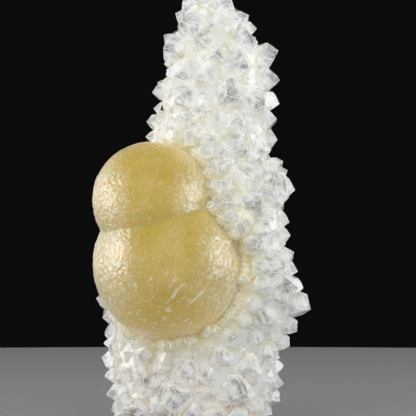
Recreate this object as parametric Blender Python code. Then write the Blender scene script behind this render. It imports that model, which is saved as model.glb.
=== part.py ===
"""A yellow botryoidal fluorite, two balls grown into one another, on a column of quartz crystals.

Sizes below are in millimetres, and the model is in metres. +Z is up, the column stands on its flat
broken foot at z = 0, and the balls sit on its front, which faces -Y.
"""

import math
import random

import bmesh
import bpy
import numpy as np
from mathutils import Matrix, Vector

MM = 0.001

# Fluorite: two balls that share one body. Width is how wide a ball is, as a share of its height
LOWER_BALL = {"centre": (-6.25, -10.2, 33.0), "radius": 15.2, "width": 0.985}
UPPER_BALL = {"centre": (-9.45, -11.6, 45.4), "radius": 11.85, "width": 1.0}
BALL_SEGMENTS = 32
BALL_RINGS = 18
SOCKET_SEGMENTS = 24
SOCKET_RINGS = 14
CONTACT_GAP = 0.35

# Core of the column: height, centre x, centre y, half width, half depth and turn in degrees
CORE_SECTIONS = [
    (-2.0, -1.8, -1.6, 14.0, 10.6, 6),
    (5.6, -1.4, -1.8, 15.2, 11.0, 8),
    (15.6, -1.0, -0.8, 16.8, 10.6, 12),
    (25.6, 0.4, -0.6, 18.8, 10.8, 22),
    (35.6, 0.6, -0.8, 17.2, 11.0, 30),
    (45.6, 1.6, -0.8, 15.0, 10.6, 28),
    (55.6, 1.8, -0.4, 11.6, 9.6, 16),
    (65.6, 3.0, 0.0, 10.0, 8.8, 8),
    (75.6, 3.4, 0.0, 9.0, 7.8, 0),
    (81.2, 2.2, 0.0, 5.8, 5.4, 0),
    (84.4, 1.8, 0.0, 3.0, 2.8, 0),
]
CORE_RINGS = 20
CORE_SEGMENTS = 22

# Quartz crystal: a six-sided prism whose end is cut by six slanting planes
FACE_SLANT = math.radians(51.8)  # angle from the crystal's axis to the normal of an end face
PRISM_SIDES = 6
SMALL_FACES = (0.15, 0.8)  # how far every second end face stands back, as a share of the radius
LONGEST_SINK = 9.0  # how far a crystal's root goes back from its tip, at most

# Crystals that make the outline: tip x, tip z, direction in degrees from +X, radius
EDGE_CRYSTALS = [
    (5.8, 86.4, 70, 2.2),
    (9.5, 82.4, 30, 2.0),
    (11.1, 79.8, 10, 1.9),
    (15.4, 75.4, 22, 2.7),
    (15.6, 69.6, 0, 2.6),
    (15.6, 64.8, -8, 2.6),
    (15.2, 57.6, 0, 2.8),
    (16.3, 53.2, 25, 1.6),
    (17.2, 51.4, 30, 2.2),
    (18.7, 47.6, -4, 3.4),
    (17.5, 41.2, -15, 2.0),
    (17.7, 38.6, 0, 1.9),
    (18.4, 35.2, 30, 2.1),
    (19.1, 31.4, -5, 2.2),
    (20.2, 28.2, -10, 2.0),
    (21.7, 24.0, -18, 3.0),
    (19.0, 19.6, -35, 2.1),
    (17.6, 16.6, -30, 1.9),
    (16.4, 12.6, 5, 1.8),
    (16.4, 9.0, 0, 2.0),
    (15.6, 5.6, -30, 2.0),
    (14.2, 3.0, -20, 1.8),
    (-4.7, 82.8, 150, 2.8),
    (-7.0, 78.4, 135, 2.0),
    (-6.9, 72.8, 180, 2.0),
    (-8.2, 69.0, 155, 1.6),
    (-9.3, 67.1, 177, 1.7),
    (-9.0, 63.8, 165, 2.5),
    (-10.4, 61.2, 175, 1.8),
    (-10.6, 58.2, 175, 1.7),
    (-20.6, 25.8, 170, 1.9),
    (-17.9, 22.2, 205, 1.6),
    (-19.0, 16.8, 180, 1.8),
    (-19.4, 14.0, 170, 2.2),
    (-18.8, 10.4, 185, 1.8),
    (-18.4, 6.8, 190, 2.0),
    (-17.4, 3.6, 200, 2.1),
    (1.0, 86.8, 95, 2.8),
    (-3.0, 85.8, 125, 2.6),
    (3.0, 86.2, 85, 1.8),
]

# Large crystals on the front: tip x, tip z, radius, and how squarely they face the front (0 to 1)
FRONT_CRYSTALS = [
    (13.8, 47.4, 4.4, 0.8),
    (12.8, 21.4, 3.4, 0.3),
    (10.2, 13.2, 3.6, 0.7),
    (8.6, 7.6, 4.2, 0.4),
    (-4.6, 8.0, 3.8, 0.2),
    (-11.8, 11.6, 2.4, 0.6),
    (-7.6, 12.8, 2.4, 0.3),
    (-15.4, 10.8, 3.4, 0.6),
    (-8.8, 4.6, 2.4, 0.6),
    (5.2, 66.0, 3.6, 0.7),
    (-4.4, 70.4, 3.8, 0.5),
    (8.4, 73.2, 3.6, 0.4),
    (-0.6, 77.2, 2.6, 0.3),
    (3.8, 80.8, 2.4, 0.6),
    (12.0, 55.6, 3.2, 0.6),
    (7.8, 61.2, 2.8, 0.2),
    (14.6, 32.6, 3.2, 0.5),
    (12.6, 28.4, 2.4, 0.3),
    (4.0, 14.6, 2.8, 0.4),
    (0.0, 64.0, 2.6, 0.2),
    (-4.4, 62.0, 2.8, 0.4),
    (12.2, 41.4, 2.4, 0.5),
    (-2.4, 12.4, 2.6, 0.6),
    (1.6, 10.8, 2.4, 0.4),
    (-6.0, 1.8, 2.4, 0.5),
]

# Crystals that stand round the fluorite's edge and reach over it on the right: tip x, y, z, radius
RIM_CRYSTALS = [
    (-5.4, -10.6, 57.6, 1.4),
    (-2.4, -12.0, 56.4, 1.8),
    (0.2, -13.6, 54.0, 1.9),
    (1.4, -15.2, 51.2, 1.8),
    (2.0, -17.0, 48.0, 1.7),
    (2.2, -19.0, 44.8, 1.6),
    (4.4, -19.2, 42.0, 1.8),
    (6.8, -18.6, 39.0, 1.9),
    (8.8, -17.4, 36.2, 2.0),
    (10.2, -15.8, 32.8, 2.1),
    (10.4, -15.0, 29.4, 2.0),
    (9.4, -14.6, 26.0, 2.0),
    (7.6, -14.0, 22.6, 2.1),
    (4.6, -13.2, 19.8, 2.1),
    (1.2, -12.8, 17.4, 2.0),
    (-2.6, -12.2, 16.0, 2.0),
    (-6.6, -12.0, 15.6, 1.9),
    (-10.4, -10.6, 16.8, 1.9),
]
RIM_INWARD = 0.6  # how far a rim crystal leans over the fluorite, as a share of its forward reach
FRONT_STAND = 0.9  # how far a front crystal's tip stands out from the core, as a share of its radius

# The rest of the crust, scattered over the core
FILL_TRIES = 5000
FILL_RADIUS = (2.1, 3.4)
FILL_CLEARANCE = 0.70  # closest two crystals stand, as a share of their radii added together
FILL_LEAN = 0.32
SIDEWAYS = 0.5  # a fill crystal that points less than this to front or back stays inside the outline
CRUST_TRIANGLES = 7980
TIP_LOSS = 0.35  # what the thinning to that many triangles takes off an outline crystal's tip
FOOT_BLOCK = (80, 80, 20)  # width, depth and height of the block that cuts the foot flat
SEED = 11


def section_at(height):
    """The core's section at a height: centre x, centre y, half width, half depth, turn in radians."""
    rows = np.array(CORE_SECTIONS, float)
    values = [float(np.interp(height, rows[:, 0], rows[:, column])) for column in range(1, 6)]
    values[4] = math.radians(values[4])
    return values


def core_point(height, angle):
    """A point on the core's surface. Angle 0 is +X, and -90 degrees faces the front."""
    centre_x, centre_y, half_width, half_depth, turn = section_at(height)
    across = half_width * math.cos(angle)
    along = half_depth * math.sin(angle)
    x = centre_x + across * math.cos(turn) + along * math.sin(turn)
    y = centre_y - across * math.sin(turn) + along * math.cos(turn)
    return Vector((x, y, height))


def core_normal(height, angle):
    """The core's outward direction, from the surface's two tangents."""
    step = 0.01
    around = core_point(height, angle + step) - core_point(height, angle - step)
    upward = core_point(height + 1.0, angle) - core_point(height - 1.0, angle)
    return around.cross(upward).normalized()


def front_angle(x, height):
    """The angle at which the front of the core has this x, found by halving."""
    low = -math.pi + 0.05
    high = -0.05
    for _ in range(30):
        middle = (low + high) / 2
        if core_point(height, middle).x < x:
            low = middle
        else:
            high = middle
    return (low + high) / 2


def side_angle(height, x):
    """The angle at which the core reaches furthest to the side on which x lies."""
    centre_x, _, half_width, half_depth, turn = section_at(height)
    right = math.atan2(half_depth * math.sin(turn), half_width * math.cos(turn))
    return right if x > centre_x else right + math.pi


def link(mesh_or_bmesh, name, collection):
    """A new object of the mesh, in metres, in the collection."""
    mesh = mesh_or_bmesh
    if isinstance(mesh_or_bmesh, bmesh.types.BMesh):
        mesh = bpy.data.meshes.new(name)
        mesh_or_bmesh.to_mesh(mesh)
        mesh_or_bmesh.free()
    obj = bpy.data.objects.new(name, mesh)
    collection.objects.link(obj)
    return obj


def evaluated_copy(obj):
    """The object's mesh with its modifiers applied."""
    graph = bpy.context.evaluated_depsgraph_get()
    return bpy.data.meshes.new_from_object(obj.evaluated_get(graph))


def core_bmesh():
    """The column without its crystals: a loft through the sections, closed at both ends."""
    bm = bmesh.new()
    low = CORE_SECTIONS[0][0]
    high = CORE_SECTIONS[-1][0]
    rings = []
    for row in range(CORE_RINGS + 1):
        height = low + (high - low) * row / CORE_RINGS
        angles = [2 * math.pi * k / CORE_SEGMENTS for k in range(CORE_SEGMENTS)]
        rings.append([bm.verts.new(core_point(height, angle) * MM) for angle in angles])
    for below, above in zip(rings, rings[1:]):
        for k in range(CORE_SEGMENTS):
            after = (k + 1) % CORE_SEGMENTS
            bm.faces.new((below[k], below[after], above[after], above[k]))
    bm.faces.new(list(reversed(rings[0])))
    bm.faces.new(rings[-1])
    return bm


def cleave(bm, point, normal):
    """Cuts away what lies beyond a plane, and closes the cut with one flat face."""
    geometry = bm.verts[:] + bm.edges[:] + bm.faces[:]
    cut = bmesh.ops.bisect_plane(
        bm, geom=geometry, dist=1e-9, plane_co=point, plane_no=normal, clear_outer=True
    )
    edges = [item for item in cut["geom_cut"] if isinstance(item, bmesh.types.BMEdge)]
    if edges:
        bmesh.ops.holes_fill(bm, edges=edges, sides=0)


def add_crystal(target, crystal, chance):
    """Adds one closed quartz crystal to the target mesh."""
    radius = crystal["radius"]
    length = crystal["length"]
    bm = bmesh.new()
    bmesh.ops.create_cone(
        bm, cap_ends=True, segments=PRISM_SIDES, radius1=radius, radius2=radius, depth=length
    )
    bmesh.ops.translate(bm, verts=bm.verts[:], vec=(0, 0, -length / 2))
    small_face_shift = chance.uniform(*SMALL_FACES) * radius
    for side in range(PRISM_SIDES):
        around = 2 * math.pi * side / PRISM_SIDES
        normal = Vector(
            (
                math.cos(around) * math.sin(FACE_SLANT),
                math.sin(around) * math.sin(FACE_SLANT),
                math.cos(FACE_SLANT),
            )
        )
        shift = chance.uniform(-0.06, 0.0) * radius + (side % 2) * small_face_shift
        cleave(bm, Vector((0, 0, shift)), normal)
    turned = crystal["axis"].to_track_quat("Z", "Y").to_matrix().to_4x4()
    spin = Matrix.Rotation(chance.uniform(0, math.pi / 3), 4, "Z")
    bm.transform(Matrix.Scale(MM, 4) @ Matrix.Translation(crystal["tip"]) @ turned @ spin)
    mesh = bpy.data.meshes.new("one_crystal")
    bm.to_mesh(mesh)
    bm.free()
    target.from_mesh(mesh)
    bpy.data.meshes.remove(mesh)


def edge_crystals(chance):
    """The crystals that make the outline, their tips level with the middle of the column."""
    made = []
    for x, z, direction, radius in EDGE_CRYSTALS:
        aim = math.radians(direction)
        toward_viewer = chance.uniform(-0.25, 0.15)
        axis = Vector((math.cos(aim), toward_viewer, math.sin(aim))).normalized()
        tip = Vector((x, core_point(min(z, CORE_SECTIONS[-1][0]), side_angle(z, x)).y, z))
        tip += axis * TIP_LOSS
        made.append({"tip": tip, "axis": axis, "radius": radius, "length": LONGEST_SINK})
    return made


def front_crystals(chance):
    """The large crystals that face the front, standing out along the core's own normal."""
    made = []
    for x, z, radius, facing in FRONT_CRYSTALS:
        angle = front_angle(x, z)
        straight = Vector((0, -1, 0))
        lean = Vector([chance.uniform(-1, 1) for _ in range(3)]) * FILL_LEAN * 0.6
        axis = (core_normal(z, angle).lerp(straight, facing) + lean).normalized()
        tip = Vector((x, core_point(z, angle).y - FRONT_STAND * radius, z))
        made.append({"tip": tip, "axis": axis, "radius": radius, "length": LONGEST_SINK})
    return made


def rim_crystals(chance):
    """The crystals round the fluorite's edge."""
    made = []
    for x, y, z, radius in RIM_CRYSTALS:
        tip = Vector((x, y, z))
        centres = [Vector(ball["centre"]) for ball in (LOWER_BALL, UPPER_BALL)]
        outward = tip - min(centres, key=lambda centre: (tip - centre).length)
        outward.y = 0
        lean = Vector([chance.uniform(-1, 1) for _ in range(3)]) * FILL_LEAN * 0.6
        axis = (Vector((0, -1, 0)) - outward.normalized() * RIM_INWARD + lean).normalized()
        made.append({"tip": tip, "axis": axis, "radius": radius, "length": LONGEST_SINK})
    return made


def ball_depth(point):
    """How far inside the nearer ball a point lies; negative outside."""
    depths = []
    for ball in (LOWER_BALL, UPPER_BALL):
        depths.append(ball["radius"] - (point - Vector(ball["centre"])).length)
    return max(depths)


def fill_crystals(chance, placed):
    """Crystals scattered over what the others leave bare, the larger ones first."""
    made = []
    roots = []
    for crystal in placed:
        roots.append((crystal["tip"] - crystal["axis"] * crystal["radius"], crystal["radius"]))
    top = CORE_SECTIONS[-1][0]
    for trial in range(FILL_TRIES):
        share = trial / FILL_TRIES
        height = chance.uniform(-0.5, top)
        angle = chance.uniform(0, 2 * math.pi)
        radius = FILL_RADIUS[1] + (FILL_RADIUS[0] - FILL_RADIUS[1]) * share
        radius *= chance.uniform(0.85, 1.15)
        point = core_point(height, angle)
        normal = core_normal(height, angle)
        if ball_depth(point + normal * radius) > 0.6 * radius:
            continue
        if any((point - other).length < FILL_CLEARANCE * (radius + size) for other, size in roots):
            continue
        lean = Vector([chance.uniform(-1, 1) for _ in range(3)]) * FILL_LEAN
        axis = (normal + lean).normalized()
        stand = chance.uniform(0.75, 1.2) if abs(axis.y) > SIDEWAYS else chance.uniform(0.2, 0.5)
        tip = point + axis * radius * stand
        made.append({"tip": tip, "axis": axis, "radius": radius, "length": 3.2 * radius})
        roots.append((point, radius))
    return made


def ball_object(ball, extra, fineness, name, collection):
    """One ball as a closed sphere, a little larger by extra. Fineness is its segments and rings."""
    segments, rings = fineness
    bm = bmesh.new()
    bmesh.ops.create_uvsphere(
        bm, u_segments=segments, v_segments=rings, radius=(ball["radius"] + extra) * MM
    )
    bmesh.ops.scale(bm, verts=bm.verts[:], vec=(ball["width"], 1, 1))
    bmesh.ops.translate(bm, verts=bm.verts[:], vec=Vector(ball["centre"]) * MM)
    return link(bm, name, collection)


def boolean(obj, other, operation, self_crossing=False):
    """Adds a Boolean modifier to obj."""
    modifier = obj.modifiers.new(operation.title(), "BOOLEAN")
    modifier.operation = operation
    modifier.object = other
    modifier.use_self = self_crossing
    return modifier


def hide_cutter(obj):
    """Marks an object as a cutter, which is no part of the specimen."""
    obj.hide_render = True
    obj.display_type = "WIRE"


def largest_piece(mesh):
    """Leaves only the largest connected piece of a mesh, so that no crumb is left beside it."""
    bm = bmesh.new()
    bm.from_mesh(mesh)
    waiting = set(bm.verts)
    pieces = []
    while waiting:
        reached = {waiting.pop()}
        edge_of_search = list(reached)
        while edge_of_search:
            vertex = edge_of_search.pop()
            for edge in vertex.link_edges:
                other = edge.other_vert(vertex)
                if other in waiting:
                    waiting.discard(other)
                    reached.add(other)
                    edge_of_search.append(other)
        pieces.append(reached)
    pieces.sort(key=len)
    crumbs = [vertex for piece in pieces[:-1] for vertex in piece]
    bmesh.ops.delete(bm, geom=crumbs, context="VERTS")
    bm.to_mesh(mesh)
    bm.free()


def material(name, colour, roughness):
    """A plain Principled material."""
    made = bpy.data.materials.new(name)
    made.use_nodes = True
    shader = made.node_tree.nodes["Principled BSDF"]
    shader.inputs["Base Color"].default_value = (*colour, 1)
    shader.inputs["Roughness"].default_value = roughness
    shader.inputs["Metallic"].default_value = 0.0
    return made


def joined_balls(extra, fineness, name, cutters):
    """Both balls as one closed mesh."""
    lower = ball_object(LOWER_BALL, extra, fineness, name + "_lower", cutters)
    upper = ball_object(UPPER_BALL, extra, fineness, name + "_upper", cutters)
    boolean(lower, upper, "UNION")
    hide_cutter(lower)
    hide_cutter(upper)
    return lower


def build_fluorite(cutters):
    """The fluorite's mesh, two balls as one solid."""
    mesh = evaluated_copy(joined_balls(0, (BALL_SEGMENTS, BALL_RINGS), "ball", cutters))
    mesh.shade_smooth()
    mesh.materials.append(material("yellow_fluorite", (0.78, 0.58, 0.22), 0.35))
    return mesh


def build_crust(cutters):
    """The core with every crystal joined to it, its smallest edges taken out."""
    chance = random.Random(SEED)
    crystals = edge_crystals(chance) + front_crystals(chance) + rim_crystals(chance)
    crystals += fill_crystals(chance, crystals)
    bm = bmesh.new()
    for crystal in crystals:
        add_crystal(bm, crystal, chance)
    points = link(bm, "points", cutters)
    whole = link(core_bmesh(), "whole", cutters)
    boolean(whole, points, "UNION", self_crossing=True)
    crust = link(evaluated_copy(whole), "crust", cutters)
    crust.data.calc_loop_triangles()
    count = len(crust.data.loop_triangles)
    thinning = crust.modifiers.new("Thinning", "DECIMATE")
    thinning.ratio = min(1.0, CRUST_TRIANGLES / count)
    thinning.use_collapse_triangulate = True
    for obj in (points, whole, crust):
        hide_cutter(obj)
    print(f"{len(crystals)} crystals, {count} triangles before thinning")
    return crust


def foot_cutter(cutters):
    """A block under z = 0, which cuts the foot flat."""
    width, depth, height = FOOT_BLOCK
    bm = bmesh.new()
    bmesh.ops.create_cube(bm, size=1.0)
    bmesh.ops.scale(bm, vec=Vector((width, depth, height)) * MM, verts=bm.verts[:])
    bmesh.ops.translate(bm, vec=Vector((0, 0, -height / 2)) * MM, verts=bm.verts[:])
    block = link(bm, "foot_cutter", cutters)
    hide_cutter(block)
    return block


def build_quartz(cutters):
    """The quartz's mesh: the crust, cut by the fluorite's socket and by the foot."""
    socket = joined_balls(CONTACT_GAP, (SOCKET_SEGMENTS, SOCKET_RINGS), "socket", cutters)
    crust = build_crust(cutters)
    boolean(crust, socket, "DIFFERENCE")
    boolean(crust, foot_cutter(cutters), "DIFFERENCE")
    mesh = evaluated_copy(crust)
    largest_piece(mesh)
    mesh.materials.clear()
    mesh.materials.append(material("white_quartz", (0.86, 0.86, 0.84), 0.2))
    return mesh


def centre_over_foot(meshes):
    """Moves the meshes so that the origin is under the middle of their box, at the foot."""
    points = np.array([vertex.co for mesh in meshes for vertex in mesh.vertices])
    low = points.min(axis=0)
    high = points.max(axis=0)
    shift = Vector((-(low[0] + high[0]) / 2, -(low[1] + high[1]) / 2, -low[2]))
    for mesh in meshes:
        mesh.transform(Matrix.Translation(shift))
    print(f"moved by {shift / MM} mm")


def main():
    for obj in list(bpy.data.objects):
        bpy.data.objects.remove(obj)
    parts = bpy.data.collections.new("botryoidal_fluorite")
    cutters = bpy.data.collections.new("cutters")
    bpy.context.scene.collection.children.link(parts)
    bpy.context.scene.collection.children.link(cutters)
    meshes = {"fluorite": build_fluorite(cutters), "quartz": build_quartz(cutters)}
    centre_over_foot(list(meshes.values()))
    for name, mesh in meshes.items():
        link(mesh, name, parts)


main()
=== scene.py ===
import math

import bmesh
import bpy
import numpy as np
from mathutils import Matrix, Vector


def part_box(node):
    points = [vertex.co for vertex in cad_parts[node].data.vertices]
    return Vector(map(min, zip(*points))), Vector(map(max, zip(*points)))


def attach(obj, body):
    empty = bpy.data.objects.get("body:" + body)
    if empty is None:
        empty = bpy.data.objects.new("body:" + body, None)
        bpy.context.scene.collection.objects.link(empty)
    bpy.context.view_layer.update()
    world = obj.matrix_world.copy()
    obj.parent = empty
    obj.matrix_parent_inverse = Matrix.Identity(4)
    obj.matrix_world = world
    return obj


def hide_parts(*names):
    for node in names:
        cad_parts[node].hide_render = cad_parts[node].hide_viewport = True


# Botryoidal fluorite on a quartz column. Lengths in the dictionaries are millimetres.
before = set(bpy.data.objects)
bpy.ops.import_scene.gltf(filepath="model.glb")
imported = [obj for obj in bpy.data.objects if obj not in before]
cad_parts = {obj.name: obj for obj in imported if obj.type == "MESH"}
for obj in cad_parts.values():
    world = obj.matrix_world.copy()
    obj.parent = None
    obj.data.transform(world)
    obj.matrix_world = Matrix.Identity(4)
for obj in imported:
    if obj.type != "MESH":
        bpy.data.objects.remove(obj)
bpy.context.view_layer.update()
mm = 0.001

# where the solids stand: their own measures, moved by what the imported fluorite's box says
balls = [
    {"centre": (-6.25, -10.2, 33.0), "radius": 15.2, "width": 0.985},
    {"centre": (-9.45, -11.6, 45.4), "radius": 11.85, "width": 1.0},
]
coreSections = np.array([  # height, centre x and y, half width, half depth, turn in degrees
    (-2.0, -1.8, -1.6, 14.0, 10.6, 6),
    (5.6, -1.4, -1.8, 15.2, 11.0, 8),
    (15.6, -1.0, -0.8, 16.8, 10.6, 12),
    (25.6, 0.4, -0.6, 18.8, 10.8, 22),
    (35.6, 0.6, -0.8, 17.2, 11.0, 30),
    (45.6, 1.6, -0.8, 15.0, 10.6, 28),
    (55.6, 1.8, -0.4, 11.6, 9.6, 16),
    (65.6, 3.0, 0.0, 10.0, 8.8, 8),
    (75.6, 3.4, 0.0, 9.0, 7.8, 0),
    (81.2, 2.2, 0.0, 5.8, 5.4, 0),
    (84.4, 1.8, 0.0, 3.0, 2.8, 0),
])
fluoriteLow = np.array((-21.3, -25.4, 17.8))  # the fluorite's lowest corner in these measures
place = np.array(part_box("fluorite")[0]) / mm - fluoriteLow
print("solids moved by", place.round(3))


# ---- surface helpers
def scatter(cells, seed):
    # a whole-number hash: the same lattice cell always gives the same share from 0 to 1
    x, y, z = (cells[..., k].astype(np.int64) for k in range(3))
    h = (x * 73856093) ^ (y * 19349663) ^ (z * 83492791) ^ (seed * 2654435761)
    h = (h ^ (h >> 13)) * 1274126177
    h = (h ^ (h >> 16)) & 0xFFFFFF
    return h / float(0x1000000)


def smoothNoise(points, size, seed):
    # lattice shares blended by 3t^2 - 2t^3 along each axis, from -1 to 1
    q = points / size
    base = np.floor(q)
    t = q - base
    t = t * t * (3 - 2 * t)
    total = np.zeros(points.shape[:-1])
    for corner in np.ndindex(2, 2, 2):
        corner = np.array(corner)
        weight = np.prod(np.where(corner == 1, t, 1 - t), axis=-1)
        total += weight * scatter(base + corner, seed)
    return total * 2 - 1


def cellNoise(points, size, seed):
    # distance to the nearest and next nearest of one random point per lattice cell, in cells
    q = points / size
    base = np.floor(q)
    near = np.full(points.shape[:-1], 9.0)
    nextNear = near.copy()
    owner = np.zeros(points.shape[:-1])
    for step in np.ndindex(3, 3, 3):
        cell = base + np.array(step) - 1
        spot = np.stack([scatter(cell, seed + k) for k in range(3)], axis=-1)
        away = np.linalg.norm(cell + spot - q, axis=-1)
        closer = away < near
        nextNear = np.where(closer, near, np.minimum(nextNear, away))
        owner = np.where(closer, scatter(cell, seed + 7), owner)
        near = np.minimum(near, away)
    return near, nextNear, owner


def unit(vectors):
    return vectors / np.linalg.norm(vectors, axis=-1, keepdims=True)


def meshOf(name, points, faces, smooth=False):
    # points in millimetres in the solids' measures
    mesh = bpy.data.meshes.new(name)
    mesh.from_pydata(((points + place) * mm).tolist(), [], faces)
    mesh.validate()
    mesh.update()
    if smooth:
        mesh.shade_smooth()
    piece = bpy.data.objects.new(name, mesh)
    bpy.context.scene.collection.objects.link(piece)
    return piece


# ---- the fluorite
fluoriteShape = {
    "columns": 340,         # round the line through both balls, most of them on the front
    "rows": 288,
    "frontShare": 0.86,     # share of the columns on the front two thirds
    "seatGrow": 0.3,        # stands out past the solid at the back, over the gap to the quartz
    "seat": (-9.0, -4.0),   # from no growth to all of it, front to back
    "creaseRound": 0.10,    # radius of blending where the balls meet
    "pebble": 0.8,          # width of a pebble
    "pebbleHeight": 0.24,
    "swell": 0.1,           # height of the broad unevenness
    "topSmooth": 0.9,       # pebble height left on the upper ball
}


def fluoriteRadius(ways, start):
    # distance from start to the farther skin of each ball along a direction; the larger of the two,
    # blended over creaseRound
    reach = []
    for ball in balls:
        squash = np.array((1 / ball["width"], 1, 1))
        way = ways * squash
        centre = (np.array(ball["centre"]) - start) * squash
        a = (way * way).sum(-1)
        b = (way * centre).sum(-1)
        c = (centre * centre).sum() - ball["radius"] ** 2
        reach.append((b + np.sqrt(b * b - a * c)) / a)
    near, far = reach
    k = fluoriteShape["creaseRound"]
    return np.maximum(near, far) + k * np.exp(-np.abs(near - far) / k / 2) * 0.5


def makeFluorite():
    s = fluoriteShape
    low, high = (np.array(ball["centre"]) for ball in balls)
    line = unit(high - low)
    apart = np.linalg.norm(high - low)
    # the plane where the balls meet
    along = (apart ** 2 + balls[0]["radius"] ** 2 - balls[1]["radius"] ** 2) / (2 * apart)
    start = low + line * along
    front = unit(np.array((0.0, -1.0, 0.0)) - line * np.dot((0, -1, 0), line))
    side = np.cross(line, front)
    u = np.arange(s["columns"]) / s["columns"]
    frontColumns = s["frontShare"]
    turn = np.where(u < frontColumns, (u / frontColumns - 0.5) * math.radians(250),
                    math.radians(125) + (u - frontColumns) / (1 - frontColumns) * math.radians(110))
    v = (np.arange(1, s["rows"])) / s["rows"]
    tilt = math.pi * v
    tilt = tilt[:, None]
    turn = turn[None, :]
    ways = (np.sin(tilt)[..., None] * (np.cos(turn)[..., None] * front + np.sin(turn)[..., None] * side)
            + np.cos(tilt)[..., None] * line)
    ways = np.broadcast_to(ways, (s["rows"] - 1, s["columns"], 3)).reshape(-1, 3)
    ways = np.concatenate([ways, [line], [-line]])
    points = start + ways * fluoriteRadius(ways, start)[:, None]
    # relief: pebbles and a broad swell
    upper = np.clip(((points - start) @ line) / 4 + 0.5, 0, 1)
    warp = np.stack([smoothNoise(points, 0.9, 31 + k) for k in range(3)], -1) * 0.22
    near, nextNear, owner = cellNoise(points + warp, s["pebble"], 11)
    lumps = 1 - np.clip(near / 0.75, 0, 1) ** 2
    patch = 0.75 + 0.5 * smoothNoise(points, 4.0, 5)
    strength = patch * (1 - (1 - s["topSmooth"]) * upper)
    relief = s["pebbleHeight"] * strength * lumps * (0.4 + 0.6 * owner)
    relief += s["swell"] * (smoothNoise(points, 5.0, 3) * 0.7 + smoothNoise(points, 2.2, 4) * 0.3)
    # all of it inward from the solid's skin, but for the growth at the back
    relief -= s["pebbleHeight"] + s["swell"] * 0.7
    back = np.clip((points[:, 1] - s["seat"][0]) / (s["seat"][1] - s["seat"][0]), 0, 1)
    relief += s["seatGrow"] * back * back * (3 - 2 * back)
    middle = np.where(((points - start) @ line)[:, None] > 0, high, low)
    points = points + unit(points - middle) * relief[:, None]
    rows, columns = s["rows"] - 1, s["columns"]
    r, c = np.meshgrid(np.arange(rows - 1), np.arange(columns), indexing="ij")
    after = (c + 1) % columns
    quads = np.stack([r * columns + c, (r + 1) * columns + c, (r + 1) * columns + after, r * columns + after], -1)
    c = np.arange(columns)
    top, bottom = rows * columns, rows * columns + 1
    caps = np.stack([np.full(columns, top), c, (c + 1) % columns], -1)
    last = (rows - 1) * columns
    feet = np.stack([np.full(columns, bottom), last + (c + 1) % columns, last + c], -1)
    faces = quads.reshape(-1, 4).tolist() + caps.tolist() + feet.tolist()
    piece = meshOf("fluoriteBalls", points, faces, smooth=True)
    # for the finish: how far to the side of its ball each corner lies, in radii, which marks the zone of painted
    # highlights, and how high on a pebble
    reach = np.where(middle[:, 2] > low[2] + 1, balls[1]["radius"], balls[0]["radius"])
    aside = np.abs(points[:, 0] - middle[:, 0]) / reach
    level = (points[:, 2] - middle[:, 2]) / reach
    flank = np.clip((aside - 0.3) / 0.35, 0, 1) * np.clip((0.85 - np.abs(level + 0.05)) / 0.45, 0, 1)
    for key, values in (("flank", flank), ("pebble", lumps)):
        layer = piece.data.attributes.new(key, "FLOAT", "POINT")
        layer.data.foreach_set("value", values.astype(np.float32))
    return piece


# ---- the quartz
crystalShape = {
    "slant": 51.8,          # degrees from the crystal's axis to the normal of an end face
    "smallFace": (0.12, 0.48),  # how far every second end face stands back, in radii
    "uneven": 0.12,         # how much the side faces differ
}
crustShape = {
    "rowStep": 1.9,         # spacing of the small crystals over the core
    "radius": (0.6, 1.7),
    "standOut": (-1.3, 0.4),
    "lean": 0.75,
    "seed": 5,
}


def corePoint(height, angle):
    # an ellipse at each height, its measures read between the sections; and its outward direction
    def at(height, angle):
        cx, cy, wide, deep, turn = (np.interp(height, coreSections[:, 0], coreSections[:, k]) for k in range(1, 6))
        turn = np.radians(turn)
        across = wide * np.cos(angle)
        along = deep * np.sin(angle)
        return np.stack([cx + across * np.cos(turn) + along * np.sin(turn),
                         cy - across * np.sin(turn) + along * np.cos(turn), height + 0 * angle], -1)
    around = at(height, angle + 0.01) - at(height, angle - 0.01)
    upward = at(height + 1, angle) - at(height - 1, angle)
    return at(height, angle), unit(np.cross(around, upward))


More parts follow.
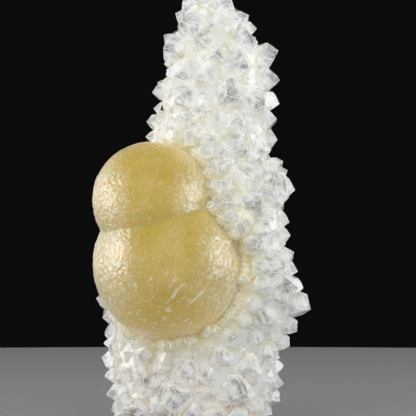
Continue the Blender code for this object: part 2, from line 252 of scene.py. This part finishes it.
def crystalMesh(tips, axes, radii, lengths, chance):
    # each crystal is the space inside 13 planes: six end faces, six side faces and a root.
    # Every corner is where three of the planes meet, found for all crystals at once.
    n = len(tips)
    slant = math.radians(crystalShape["slant"])
    around = np.radians(60.0) * np.arange(6)
    ends = np.stack([np.cos(around) * math.sin(slant), np.sin(around) * math.sin(slant),
                     np.full(6, math.cos(slant))], -1)
    sides = np.stack([np.cos(around), np.sin(around), np.zeros(6)], -1)
    normals = np.concatenate([ends, sides, [(0, 0, -1.0)]])
    far = np.zeros((n, 13))
    back = chance.uniform(*crystalShape["smallFace"], (n, 1)) * (np.arange(6) % 2)
    shift = (back + chance.uniform(-0.05, 0.0, (n, 6))) * radii[:, None]
    far[:, :6] = shift * math.cos(slant)
    far[:, 6:12] = radii[:, None] * 0.866 * (1 + crystalShape["uneven"] * chance.uniform(-1, 0.2, (n, 6)))
    far[:, 12] = lengths
    corners = [(0, 2, 4)]
    for i in (0, 2, 4):
        corners.append((i, (i + 2) % 6, i + 1))
    for i in (0, 2, 4):
        corners.append((i, i + 1, 7 + i))
        corners.append(((i + 2) % 6, i + 1, 7 + i))
    for j in range(6):
        corners.append((6 + j, 6 + (j + 1) % 6, j if j % 2 == 0 else (j + 1) % 6))
    for j in range(6):
        corners.append((6 + j, 6 + (j + 1) % 6, 12))
    corners = np.array(corners)
    planes = np.broadcast_to(normals[corners], (n, len(corners), 3, 3))
    points = np.linalg.solve(planes, far[:, corners][..., None])[..., 0]
    # turn them: axis to the given direction, with a random spin
    helper = np.where(np.abs(axes[:, 2:3]) < 0.8, [[0.0, 0, 1]], [[1.0, 0, 0]])
    first = unit(np.cross(helper, axes))
    second = np.cross(axes, first)
    spin = chance.uniform(0, math.pi / 3, (n, 1))
    e1 = first * np.cos(spin) + second * np.sin(spin)
    e2 = second * np.cos(spin) - first * np.sin(spin)
    points = (tips[:, None] + points[..., 0:1] * e1[:, None] + points[..., 1:2] * e2[:, None]
              + points[..., 2:3] * axes[:, None])
    # apex 0, tops 1 to 3, left and right 4 to 9, shoulders 10 to 15, roots 16 to 21
    faces = []
    for k, i in enumerate((0, 2, 4)):
        before = (k + 2) % 3
        faces.append([0, 1 + before, 5 + 2 * before, 10 + (i + 5) % 6, 10 + i, 4 + 2 * k, 1 + k])
        faces.append([1 + k, 4 + 2 * k, 5 + 2 * k])
        j = i + 1
        faces.append([4 + 2 * k, 10 + i, 16 + i, 16 + j, 10 + j, 5 + 2 * k])
        faces.append([10 + (i + 5) % 6, 16 + (i + 5) % 6, 16 + i, 10 + i])
    faces.append([21, 20, 19, 18, 17, 16])
    allFaces = []
    for face in faces:
        allFaces.append((np.array(face)[None, :] + 22 * np.arange(n)[:, None]).tolist())
    return points.reshape(-1, 3), [face for group in allFaces for face in group]


def ballDepth(points):
    # how far inside the nearer ball
    return np.max([ball["radius"] - np.linalg.norm(points - np.array(ball["centre"]), axis=-1) for ball in balls], axis=0)


def smallCrystals():
    # one crystal in each cell of a grid over the core, pushed about inside its cell
    s = crustShape
    chance = np.random.default_rng(s["seed"])
    heights = np.arange(0.4, 84.5, s["rowStep"])
    batches = {}
    for k, height in enumerate(heights):
        wide, deep = (np.interp(height, coreSections[:, 0], coreSections[:, c]) for c in (3, 4))
        around = int(round(math.pi * (wide + deep) / s["rowStep"] / 3)) * 3
        cells = np.arange(around)
        angle = (cells + 0.5 * (k % 2) + chance.uniform(-0.4, 0.4, around)) * 2 * math.pi / around
        h = height + chance.uniform(-0.4, 0.4, around) * s["rowStep"]
        root, normal = corePoint(h, angle)
        radius = s["radius"][0] + (s["radius"][1] - s["radius"][0]) * chance.uniform(0, 1, around) ** 1.5
        lean = chance.normal(0, 1, (around, 3)) * s["lean"] * 0.5
        axis = unit(normal + lean)
        out = radius * 0.6 + chance.uniform(*s["standOut"], around)
        tip = root + axis * out[:, None]
        keep = (ballDepth(tip) < 0.15) & (ballDepth(root) < 3.0) & (tip[:, 2] < 86.0)
        for third in range(3):
            mask = keep & (cells % 3 == third)
            batches.setdefault((third, k % 3), []).append([a[mask] for a in (tip, axis, radius, out + 1.6)])
    made = []
    for key, parts in sorted(batches.items()):
        tips, axes, radii, lengths = (np.concatenate([p[i] for p in parts]) for i in range(4))
        points, faces = crystalMesh(tips, axes, radii, lengths, chance)
        made.append(meshOf(f"smallCrystals{key[0]}{key[1]}", points, faces))
    return made


rimShape = {
    "spacing": 1.15,        # one crystal in each cube of this size along the socket's edge
    "radius": (0.55, 1.15),
    "standOut": (0.3, 1.3), # past the socket's edge
    "overBall": 0.35,       # how far the axes lean in over the fluorite
    "seed": 8,
}


def rimCrystals(mesh):
    # small crystals along the edge of the socket, which close up round the fluorite
    s = rimShape
    chance = np.random.default_rng(s["seed"])
    points = np.empty(len(mesh.vertices) * 3)
    mesh.vertices.foreach_get("co", points)
    points = points.reshape(-1, 3) / mm - place
    mesh.calc_loop_triangles()
    faces = np.empty(len(mesh.loop_triangles) * 3, np.int64)
    mesh.loop_triangles.foreach_get("vertices", faces)
    faces = faces.reshape(-1, 3)
    inSocket = ballDepth(points) > -0.6
    mixed = inSocket[faces].any(1) & ~inSocket[faces].all(1)
    edge = np.unique(faces[mixed][inSocket[faces[mixed]]])
    # more points between those of each long edge
    a, b = faces[mixed], np.roll(faces[mixed], -1, axis=1)
    both = inSocket[a] & inSocket[b]
    pa, pb = points[a[both]], points[b[both]]
    t = np.linspace(0, 1, 7)[:, None, None]
    rim = np.concatenate([points[edge], (pa * (1 - t) + pb * t).reshape(-1, 3)])
    cells = np.floor(rim / s["spacing"]).astype(int)
    _, first = np.unique(cells, axis=0, return_index=True)
    rim, cells = rim[first], cells[first]
    n = len(rim)
    away = np.array([rim - np.array(ball["centre"]) for ball in balls])
    nearest = np.argmin([np.linalg.norm(a, axis=1) - ball["radius"] for a, ball in zip(away, balls)], axis=0)
    outward = unit(away[nearest, np.arange(n)])
    # the quartz's own side: away from the ball, and out of the core
    height = np.clip(rim[:, 2], coreSections[0, 0], coreSections[-1, 0])
    fromCore = rim - np.stack([np.interp(height, coreSections[:, 0], coreSections[:, k]) for k in (1, 2)] + [rim[:, 2]], -1)
    axis = unit(outward * 0.9 + unit(fromCore) * 0.9 + chance.normal(0, 0.3, (n, 3)))
    radius = chance.uniform(*s["radius"], n)
    out = chance.uniform(*s["standOut"], n) + radius * 0.5
    tip = rim + outward * radius[:, None] * 0.4 + axis * out[:, None]
    made = []
    batch = (cells % 3) @ np.array([9, 3, 1])
    for k in range(27):
        mask = batch == k
        if mask.any():
            p, f = crystalMesh(tip[mask], axis[mask], radius[mask], out[mask] + 1.4, chance)
            made.append(meshOf(f"rimCrystals{k}", p, f))
    print("rim crystals", n)
    return made


def groundBlock():
    # what reaches below the foot is cut off with this; the block's top is the foot's own plane
    corners = np.array([(x, y, z) for z in (-10.0, 0.0) for y in (-60.0, 60.0) for x in (-60.0, 60.0)])
    faces = [(0, 2, 3, 1), (4, 5, 7, 6), (0, 1, 5, 4), (1, 3, 7, 5), (3, 2, 6, 7), (2, 0, 4, 6)]
    return meshOf("groundBlock", corners, faces)


pitShape = {
    "x": -6.9,
    "height": 63.3,
    "search": 0.9,
}


def markEdges(mesh):
    # On a triangle the distance to one of its sides is a plain slope: 0 at the side's two ends, and the
    # triangle's height at the third corner. Each corner keeps the three distances, so a finish can
    # take the least of them; sides that aren't sharp count as far off. Ridges and creases are kept apart.
    mesh.calc_loop_triangles()
    points = np.empty(len(mesh.vertices) * 3)
    mesh.vertices.foreach_get("co", points)
    points = points.reshape(-1, 3) / mm
    corners = np.empty(len(mesh.loops), np.int32)
    mesh.loops.foreach_get("vertex_index", corners)
    faces = corners.reshape(-1, 3)
    a, b, c = (points[faces[:, k]] for k in range(3))
    normal = np.cross(b - a, c - a)
    area = np.linalg.norm(normal, axis=1) + 1e-12
    normal = normal / area[:, None]
    starts, ends = faces[:, [1, 2, 0]], faces[:, [2, 0, 1]]   # the side across from each corner
    length = np.linalg.norm(points[starts] - points[ends], axis=-1) + 1e-9
    height = area[:, None] / length
    key = (np.minimum(starts, ends).astype(np.int64) * len(points) + np.maximum(starts, ends)).ravel()
    order = np.argsort(key, kind="stable")
    paired = key[order][:-1] == key[order][1:]
    one, two = order[:-1][paired], order[1:][paired]
    partner = np.full(len(key), -1)
    partner[one] = two
    partner[two] = one
    mine = np.arange(len(key)) // 3
    other = np.where(partner >= 0, partner // 3, mine)
    cosine = (normal[mine] * normal[other]).sum(-1)
    across = points[faces.ravel()[np.where(partner >= 0, partner, np.arange(len(key)))]]
    over = ((across - points[starts.ravel()]) * normal[mine]).sum(-1)
    sharp = cosine < math.cos(math.radians(22))
    for name, wanted in (("ridge", sharp & (over < 0)), ("crease", sharp & (over > 0))):
        gap = np.full((len(faces), 3, 3), 9.0)   # triangle, corner, side
        wanted = wanted.reshape(-1, 3)
        for side in range(3):
            gap[:, :, side] = np.where(wanted[:, side, None], 0.0, 9.0)
            gap[:, side, side] = np.where(wanted[:, side], height[:, side], 9.0)
        layer = mesh.attributes.new(name, "FLOAT_VECTOR", "CORNER")
        layer.data.foreach_set("vector", gap.astype(np.float32).ravel())


def makeQuartz():
    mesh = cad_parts["quartz"].data.copy()
    piece = bpy.data.objects.new("quartzCrystals", mesh)
    bpy.context.scene.collection.objects.link(piece)
    bm = bmesh.new()
    bm.from_mesh(mesh)
    bmesh.ops.remove_doubles(bm, verts=bm.verts[:], dist=1e-7)
    print("merged", len(bm.verts), "open edges", sum(1 for e in bm.edges if len(e.link_faces) != 2))
    bm.to_mesh(mesh)
    bm.free()
    small = smallCrystals() + rimCrystals(mesh)
    print("small crystals", sum(len(o.data.vertices) for o in small) // 22, "batches", len(small))
    below = groundBlock()
    for other in small + [below]:
        joiner = piece.modifiers.new("join", "BOOLEAN")
        joiner.operation = "DIFFERENCE" if other == below else "UNION"
        joiner.solver = "MANIFOLD"
        joiner.object = other
    graph = bpy.context.evaluated_depsgraph_get()
    done = bpy.data.meshes.new_from_object(piece.evaluated_get(graph))
    piece.modifiers.clear()
    piece.data = done
    done.materials.clear()
    bm = bmesh.new()
    bm.from_mesh(done)
    bmesh.ops.triangulate(bm, faces=bm.faces[:])
    bm.to_mesh(done)
    # two triangles on the same three corners are a flap of no thickness, which goes
    corners = np.empty(len(done.loops), np.int32)
    done.loops.foreach_get("vertex_index", corners)
    _, which, times = np.unique(np.sort(corners.reshape(-1, 3)), axis=0, return_inverse=True, return_counts=True)
    bm.faces.ensure_lookup_table()
    flaps = [bm.faces[k] for k in np.flatnonzero(times[which.ravel()] > 1)]
    print("flaps", len(flaps))
    bmesh.ops.delete(bm, geom=flaps, context="FACES")
    bm.to_mesh(done)
    bm.free()
    where = np.empty(len(done.vertices) * 3, np.float32)
    done.vertices.foreach_get("co", where)
    where = where.reshape(-1, 3) / mm - place
    # how far out of the core each corner stands, in millimetres
    height = np.clip(where[:, 2], coreSections[0, 0], coreSections[-1, 0])
    cx, cy, wide, deep, turn = (np.interp(height, coreSections[:, 0], coreSections[:, c]) for c in range(1, 6))
    turn = np.radians(turn)
    dx, dy = where[:, 0] - cx, where[:, 1] - cy
    angle = np.arctan2((dx * np.sin(turn) + dy * np.cos(turn)) / deep, (dx * np.cos(turn) - dy * np.sin(turn)) / wide)
    surface, normal = corePoint(height, angle)
    out = ((where - surface) * normal).sum(-1)
    layer = done.attributes.new("standOut", "FLOAT", "POINT")
    layer.data.foreach_set("value", out.astype(np.float32))
    markEdges(done)
    for other in small + [below]:
        bpy.data.objects.remove(other)
    done.calc_loop_triangles()
    print("quartz united", len(done.loop_triangles), "triangles")
    return piece



# ---- finishes
class Wire:
    # one output of a node; sums on it add Math nodes, so a pattern reads as an expression
    def __init__(self, tree, socket=None):
        self.tree = tree
        self.socket = socket

    def node(self, kind, settings=None, sockets=None, give=0):
        made = self.tree.nodes.new(kind)
        for key, value in (settings or {}).items():
            if key == "stops":
                while len(made.color_ramp.elements) < len(value):
                    made.color_ramp.elements.new(0.5)
                for element, (position, colour) in zip(made.color_ramp.elements, value):
                    element.position = position
                    element.color = colour
            else:
                setattr(made, key, value)
        for key, value in (sockets or {}).items():
            if isinstance(value, Wire):
                self.tree.links.new(value.socket, made.inputs[key])
            else:
                made.inputs[key].default_value = value
        return Wire(self.tree, made.outputs[give] if len(made.outputs) else None)

    def sum(self, operation, first, second=0.0):
        return self.node("ShaderNodeMath", {"operation": operation}, {0: first, 1: second})

    def __add__(self, other):
        return self.sum("ADD", self, other)

    def __radd__(self, other):
        return self.sum("ADD", other, self)

    def __sub__(self, other):
        return self.sum("SUBTRACT", self, other)

    def __rsub__(self, other):
        return self.sum("SUBTRACT", other, self)

    def __mul__(self, other):
        return self.sum("MULTIPLY", self, other)

    def __rmul__(self, other):
        return self.sum("MULTIPLY", other, self)

    def __pow__(self, other):
        return self.sum("POWER", self, other)

    def rise(self, low, high):
        # 0 below low, 1 above high, smooth between
        return self.node("ShaderNodeMapRange", {"interpolation_type": "SMOOTHSTEP"},
                         {"Value": self, "From Min": low, "From Max": high})

    def blend(self, first, second):
        # from the first colour to the second as this goes from 0 to 1
        return self.node("ShaderNodeMix", {"data_type": "RGBA"}, {0: self, 6: first, 7: second}, give=2)

    def noise(self, size, detail=2.0, rough=0.5, stretch=(1, 1, 1), turn=(0, 0, 0)):
        # size in millimetres; turned first, then stretched
        spot = self
        for key, value, plain in (("Rotation", turn, (0, 0, 0)), ("Scale", stretch, (1, 1, 1))):
            if value != plain:
                spot = spot.node("ShaderNodeMapping", None, {"Vector": spot, key: value})
        return self.node("ShaderNodeTexNoise", None, {"Vector": spot, "Scale": 1 / (size * mm), "Detail": detail,
                                                      "Roughness": rough})

    def cells(self, size, feature="F1", give=0):
        return self.node("ShaderNodeTexVoronoi", {"feature": feature}, {"Vector": self, "Scale": 1 / (size * mm)},
                         give=give)

    def least(self):
        # the least of a vector's three numbers
        x, y, z = (self.node("ShaderNodeSeparateXYZ", None, {0: self}, give=k) for k in range(3))
        return self.sum("MINIMUM", self.sum("MINIMUM", x, y), z)

    def awayFrom(self, centre, radius):
        # distance in metres out of a ball that is given in the solids' measures
        middle = tuple((np.array(centre) + place) * mm)
        distance = self.node("ShaderNodeVectorMath", {"operation": "DISTANCE"}, {0: self, 1: middle}, give=1)
        return distance - radius * mm

    def bump(self, strength, depth):
        # depth in millimetres
        return self.node("ShaderNodeBump", None, {"Height": self, "Strength": strength, "Distance": depth * mm})


def newFinish(name):
    made = bpy.data.materials.new(name)
    made.use_nodes = True
    made.node_tree.nodes.clear()
    wire = Wire(made.node_tree)
    spot = wire.node("ShaderNodeTexCoord", give="Object")
    return made, wire, spot


def wear(piece, finish):
    piece.data.materials.clear()
    piece.data.materials.append(finish)


fluoriteFinishValues = {
    "deep": (0.66, 0.50, 0.105, 1),
    "pale": (0.72, 0.56, 0.18, 1),
    # painted light in part: this amber is also paler than the deep yellow, lifting the shade at the bottom of the
    # lower ball
    "under": (0.88, 0.64, 0.13, 1),      # amber at the bottom of the lower ball
    # painted rim light: the back of the skin is painted pale and made to give off light, for light caught where it
    # turns away
    "rim": (0.80, 0.67, 0.43, 1),        # where the skin turns back towards the quartz
    "paintedRimLightDepth": (-17.0, -9.5),           # from none to all of it, front to back
    # painted highlight: whitens the pebbles of the flanks, where the side lamps' highlights fall
    "paintedHighlightWhite": (0.93, 0.93, 0.87, 1),      # on the pebbles of the flanks
    # colour of the flecks all over, and of the strokes on the lower ball, which are partly marks in the stone and
    # partly a painted highlight from below
    "fleck": (0.95, 0.90, 0.75, 1),
    "roughness": 0.12,
    "gloss": 1.75,                       # as an index of refraction
    "coat": 0.7,
    "coatRoughness": 0.3,
    "sheen": 0.6,
    "sheenTint": (1.0, 0.84, 0.68, 1),
}


def fluoriteFinish():
    v = fluoriteFinishValues
    made, wire, spot = newFinish("yellowFluorite")
    cloud = spot.noise(6.0, 3.0).rise(0.35, 0.65)
    colour = cloud.blend(v["deep"], v["pale"])
    height = wire.node("ShaderNodeSeparateXYZ", None, {0: spot}, give=2)
    # amber at the bottom of the lower ball: partly the stone's colour, partly painted light lifting the shade there
    under = 1 - height.rise(19 * mm, 31 * mm)
    colour = (under * 0.8).blend(colour, v["under"])
    fleck = spot.noise(0.6, 2.0, 0.5, (1, 1, 0.5)).rise(0.56, 0.68)
    low = 1 - height.rise(24 * mm, 38 * mm)
    # strokes on the lower part: partly marks in the stone, partly a painted highlight from below
    strokeAndPaintedHighlight = spot.noise(1.0, 2.0, 0.5, (1, 1, 0.3), (0, -0.9, 0)).rise(0.60, 0.66) * low
    depth = wire.node("ShaderNodeSeparateXYZ", None, {0: spot}, give=1)
    # painted rim light: paler towards the back, where the skin turns towards the quartz
    rim = depth.rise(*((y + place[1]) * mm for y in v["paintedRimLightDepth"]))
    colour = (rim * 0.6).blend(colour, v["rim"])
    flank = wire.node("ShaderNodeAttribute", {"attribute_name": "flank"}, give="Fac")
    pebble = wire.node("ShaderNodeAttribute", {"attribute_name": "pebble"}, give="Fac")
    # painted highlight: the pebbles on the flanks painted whiter where the side lamps reflect
    colour = (flank * (0.18 + pebble.rise(0.45, 0.95) * 0.46)).blend(colour, v["paintedHighlightWhite"])
    colour = wire.sum("MAXIMUM", fleck * 0.2, strokeAndPaintedHighlight * 0.95).blend(colour, v["fleck"])
    grain = (1 - spot.cells(0.36)) * 0.6 + spot.noise(0.3, 2.0) * 0.6
    normal = grain.bump(0.8, 0.12)
    shader = wire.node("ShaderNodeBsdfPrincipled", {"subsurface_method": "RANDOM_WALK"}, {
        "Base Color": colour, "Roughness": v["roughness"], "IOR": v["gloss"], "Subsurface Weight": 1.0,
        "Subsurface Radius": (1.0, 0.55, 0.2), "Subsurface Scale": 4.0 * mm, "Coat Weight": v["coat"],
        "Coat Roughness": v["coatRoughness"], "Coat IOR": 1.434, "Sheen Weight": v["sheen"], "Sheen Roughness": 0.35,
        "Sheen Tint": v["sheenTint"], "Normal": normal,
        # painted glow: the rim gives off faint light though it is no lamp
        "Emission Color": (rim * rim).blend((0, 0, 0, 1), v["rim"]), "Emission Strength": 0.12})
    wire.node("ShaderNodeOutputMaterial", None, {"Surface": shader})
    return made


quartzFinishValues = {
    "face": (0.93, 0.94, 0.92, 1),
    # painted highlight on the sharp ridges, and the colour of the fracture threads
    "edge": (1.0, 0.99, 0.93, 1),
    "valley": (0.90, 0.86, 0.70, 1),     # cream between the crystals
    "lowValley": (0.84, 0.74, 0.62, 1),  # beige below the fluorite
    "speck": (0.30, 0.20, 0.12, 1),
    "clear": (0.98, 0.985, 0.98, 1),
    # painted light: the fluorite's yellow bounced onto the quartz near it, lifting the shade there; the same colour
    # also gives off faint light
    "paintedFluoriteBounce": (1.0, 0.95, 0.72, 1),        # cream near the fluorite
    "seam": (0.95, 0.80, 0.42, 1),       # yellow right beside it
    "paintedBounceReach": 7.0,
    "paintedEdgeHighlightWidth": 0.13,
    "threadWidth": 0.025,
    "pitRadius": 0.85,
    # painted shade: the pit is a nearly black patch on the crust, not a modelled hollow
    "pitPaintedShade": (0.02, 0.016, 0.012, 1),
}


def quartzFinish(pitSpot):
    v = quartzFinishValues
    made, wire, spot = newFinish("whiteQuartz")
    out = wire.node("ShaderNodeAttribute", {"attribute_name": "standOut"}, give="Fac")
    ridge = wire.node("ShaderNodeAttribute", {"attribute_name": "ridge"}, give="Vector").least()
    crease = wire.node("ShaderNodeAttribute", {"attribute_name": "crease"}, give="Vector").least()
    height = wire.node("ShaderNodeSeparateXYZ", None, {0: spot}, give=2)
    away = wire.sum("MINIMUM", *(spot.awayFrom(ball["centre"], ball["radius"]) for ball in balls))
    near = 1 - away.rise(0.0, v["paintedBounceReach"] * mm)   # 1 beside the fluorite
    low = 1 - height.rise(8 * mm, 20 * mm)
    # painted highlight: the sharp ridges are whitened as if they caught the lamps
    edge = (1 - ridge.rise(0.02, v["paintedEdgeHighlightWidth"])) * (0.25 + spot.noise(1.4).rise(0.35, 0.6) * 0.75)
    edge = edge * (1 - near * 0.5)
    veil = spot.noise(2.2, 4.0, 0.6)
    valley = (1 - crease.rise(0.0, 0.5)) * 0.6 + (1 - out.rise(-0.5, 1.2)) * 0.4
    tint = low.blend(v["valley"], v["lowValley"])
    colour = (valley * spot.noise(5.0).rise(0.35, 0.6)).blend(v["face"], tint)
    thread = 1 - wire.sum("ABSOLUTE", spot.noise(1.7, 3.0, 0.55) - 0.5).rise(0.0, v["threadWidth"])
    thread = thread * spot.noise(3.0).rise(0.45, 0.6)
    # the painted ridge highlight together with the fracture threads
    white = wire.sum("MAXIMUM", edge * 0.85, thread * 0.65)
    speck = (1 - crease.rise(0.0, 0.25)) * spot.noise(0.6).rise(0.62, 0.68) * low
    colour = speck.blend(colour, v["speck"])
    # painted bounce light: cream on the quartz near the fluorite
    colour = (near * spot.noise(1.6, 3.0).rise(0.25, 0.6) * 0.85).blend(colour, v["paintedFluoriteBounce"])
    beside = 1 - away.rise(0.0, 2.2 * mm)
    colour = (beside * spot.noise(1.1, 2.0).rise(0.3, 0.6)).blend(colour, v["seam"])
    clearShare = (out * 0.14 + (veil - 0.5) * 1.8 + 0.16).rise(0.1, 0.95) * (1 - edge * 0.7) * (1 - speck)
    clearShare = clearShare * (1 - near * 0.65)
    normal = spot.noise(0.9, 4.0, 0.6).bump(0.35, 0.08)
    # painted glow: the quartz near the fluorite gives off faint light though it is no lamp
    paintedFluoriteBounce = (near * near).blend((0, 0, 0, 1), v["paintedFluoriteBounce"])
    milky = wire.node("ShaderNodeBsdfPrincipled", {"subsurface_method": "RANDOM_WALK"}, {
        "Emission Color": paintedFluoriteBounce, "Emission Strength": 0.06,
        "Base Color": colour, "Roughness": 0.05, "IOR": 1.544, "Subsurface Weight": 1.0,
        "Subsurface Radius": (1.0, 1.0, 0.95), "Subsurface Scale": 4.5 * mm, "Normal": normal})
    clear = wire.node("ShaderNodeBsdfPrincipled", None, {
        "Base Color": v["clear"], "Roughness": 0.03, "IOR": 1.544, "Transmission Weight": 1.0, "Normal": normal})
    mixed = wire.node("ShaderNodeMixShader", None, {0: clearShare * 0.85, 1: milky, 2: clear})
    # finish of the painted ridge highlight and of the fracture threads
    paintedHighlightWhite = wire.node("ShaderNodeBsdfPrincipled", None, {"Base Color": v["edge"], "Roughness": 0.35, "IOR": 1.544})
    mixed = wire.node("ShaderNodeMixShader", None, {0: white, 1: mixed, 2: paintedHighlightWhite})
    # painted shade: a dark patch where the pit is
    paintedPitShade = wire.node("ShaderNodeBsdfPrincipled", None, {"Base Color": v["pitPaintedShade"], "Roughness": 0.7})
    ragged = (spot.noise(0.9) - 0.5) * (1.4 * mm)
    pit = 1 - (spot.awayFrom(pitSpot, v["pitRadius"]) + ragged).rise(-0.1 * mm, 0.1 * mm)
    mixed = wire.node("ShaderNodeMixShader", None, {0: pit, 1: mixed, 2: paintedPitShade})
    wire.node("ShaderNodeOutputMaterial", None, {"Surface": mixed})
    return made


# ---- camera, light and floor
studio = {
    "cameraTarget": (1.6, 0.0, 44.0),
    "cameraDistance": 600.0,
    "frameWidth": 83.2,     # at the target
    "floorRadius": 350.0,
    "floorColour": (0.36, 0.36, 0.36, 1),
}


def softbox(name, position, target, size, power, colour=(1, 1, 1), spread=180, mirrored=True):
    # one that isn't mirrored lights a surface without a reflection of itself on it
    light = bpy.data.lights.new(name, "AREA")
    light.spread = math.radians(spread)
    light.shape = "RECTANGLE"
    light.size, light.size_y = size[0] * mm, size[1] * mm
    light.energy = power
    light.color = colour
    lamp = bpy.data.objects.new(name, light)
    bpy.context.scene.collection.objects.link(lamp)
    lamp.location = Vector(position) * mm
    aim = Vector(target) * mm - lamp.location
    lamp.visible_camera = False
    lamp.visible_glossy = mirrored
    lamp.rotation_mode = "QUATERNION"
    lamp.rotation_quaternion = aim.to_track_quat("-Z", "Y")
    return lamp


def makeStudio():
    s = studio
    camera = bpy.data.cameras.new("camera")
    camera.sensor_width = 36
    camera.lens = 36 * s["cameraDistance"] / s["frameWidth"]
    viewer = bpy.data.objects.new("camera", camera)
    bpy.context.scene.collection.objects.link(viewer)
    target = (np.array(s["cameraTarget"]) + place) * mm
    viewer.location = Vector(target) + Vector((0, -s["cameraDistance"] * mm, 0))
    viewer.rotation_euler = (math.pi / 2, 0, 0)
    bpy.context.scene.camera = viewer
    middle = (-3, 0, 42)
    softbox("leftSoftbox", (-600, 0, 130), middle, (270, 380), 1.0, (1.0, 0.99, 0.97), spread=140)
    softbox("rightSoftbox", (610, -10, 110), middle, (270, 380), 0.85, (0.98, 0.99, 1.0), spread=140)
    softbox("leftPanel", (-460, 420, 120), middle, (500, 600), 0.45, spread=120)
    softbox("rightPanel", (470, 420, 120), middle, (500, 600), 0.4, spread=120)
    softbox("frontFill", (0, -900, 100), middle, (4400, 1400), 4.2)
    softbox("frontWash", (0, -900, 100), middle, (4400, 1400), 38.0, mirrored=False)
    softbox("floorLight", (0, -220, 260), (0, -220, 0), (300, 200), 0.45, mirrored=False)
    softbox("topFill", (20, 100, 520), middle, (600, 600), 0.5, mirrored=False)
    turn = np.arange(240) * 2 * math.pi / 240
    ring = np.stack([np.cos(turn) * s["floorRadius"], np.sin(turn) * s["floorRadius"], 0 * turn - place[2]], -1)
    floor = meshOf("floor", ring, [list(range(240))])
    made, wire, spot = newFinish("paleFloor")
    shader = wire.node("ShaderNodeBsdfPrincipled", None, {"Base Color": s["floorColour"], "Roughness": 0.7})
    wire.node("ShaderNodeOutputMaterial", None, {"Surface": shader})
    wear(floor, made)
    world = bpy.data.worlds.new("studio")
    bpy.context.scene.world = world
    world.use_nodes = True
    world.node_tree.nodes["Background"].inputs[0].default_value = (0.9, 0.95, 1.0, 1)
    world.node_tree.nodes["Background"].inputs[1].default_value = 0.004


fluorite = makeFluorite()
wear(fluorite, fluoriteFinish())
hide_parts("fluorite")
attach(fluorite, "root")
print("fluorite made,", len(fluorite.data.polygons), "faces")

quartz = makeQuartz()
# the small pit, painted as a dark patch of shade: round its place in the front view, the point of the crust that
# faces the front most
steps = np.linspace(-pitShape["search"], pitShape["search"], 9)
origins = [np.array((pitShape["x"] + x, -60.0, pitShape["height"] + z)) for x in steps for z in steps]
hits = [quartz.ray_cast(((origin + place) * mm).tolist(), (0, 1, 0)) for origin in origins]
pitSpot = min((hit for hit in hits if hit[0]), key=lambda hit: hit[2].y)[1]
print("pit at", pitSpot)
wear(quartz, quartzFinish(np.array(pitSpot) / mm - place))
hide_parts("quartz")
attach(quartz, "root")

makeStudio()
scene = bpy.context.scene
scene.view_settings.view_transform = "Standard"
scene.cycles.max_bounces = 16
scene.cycles.transmission_bounces = 14
scene.cycles.diffuse_bounces = 6
scene.cycles.glossy_bounces = 6
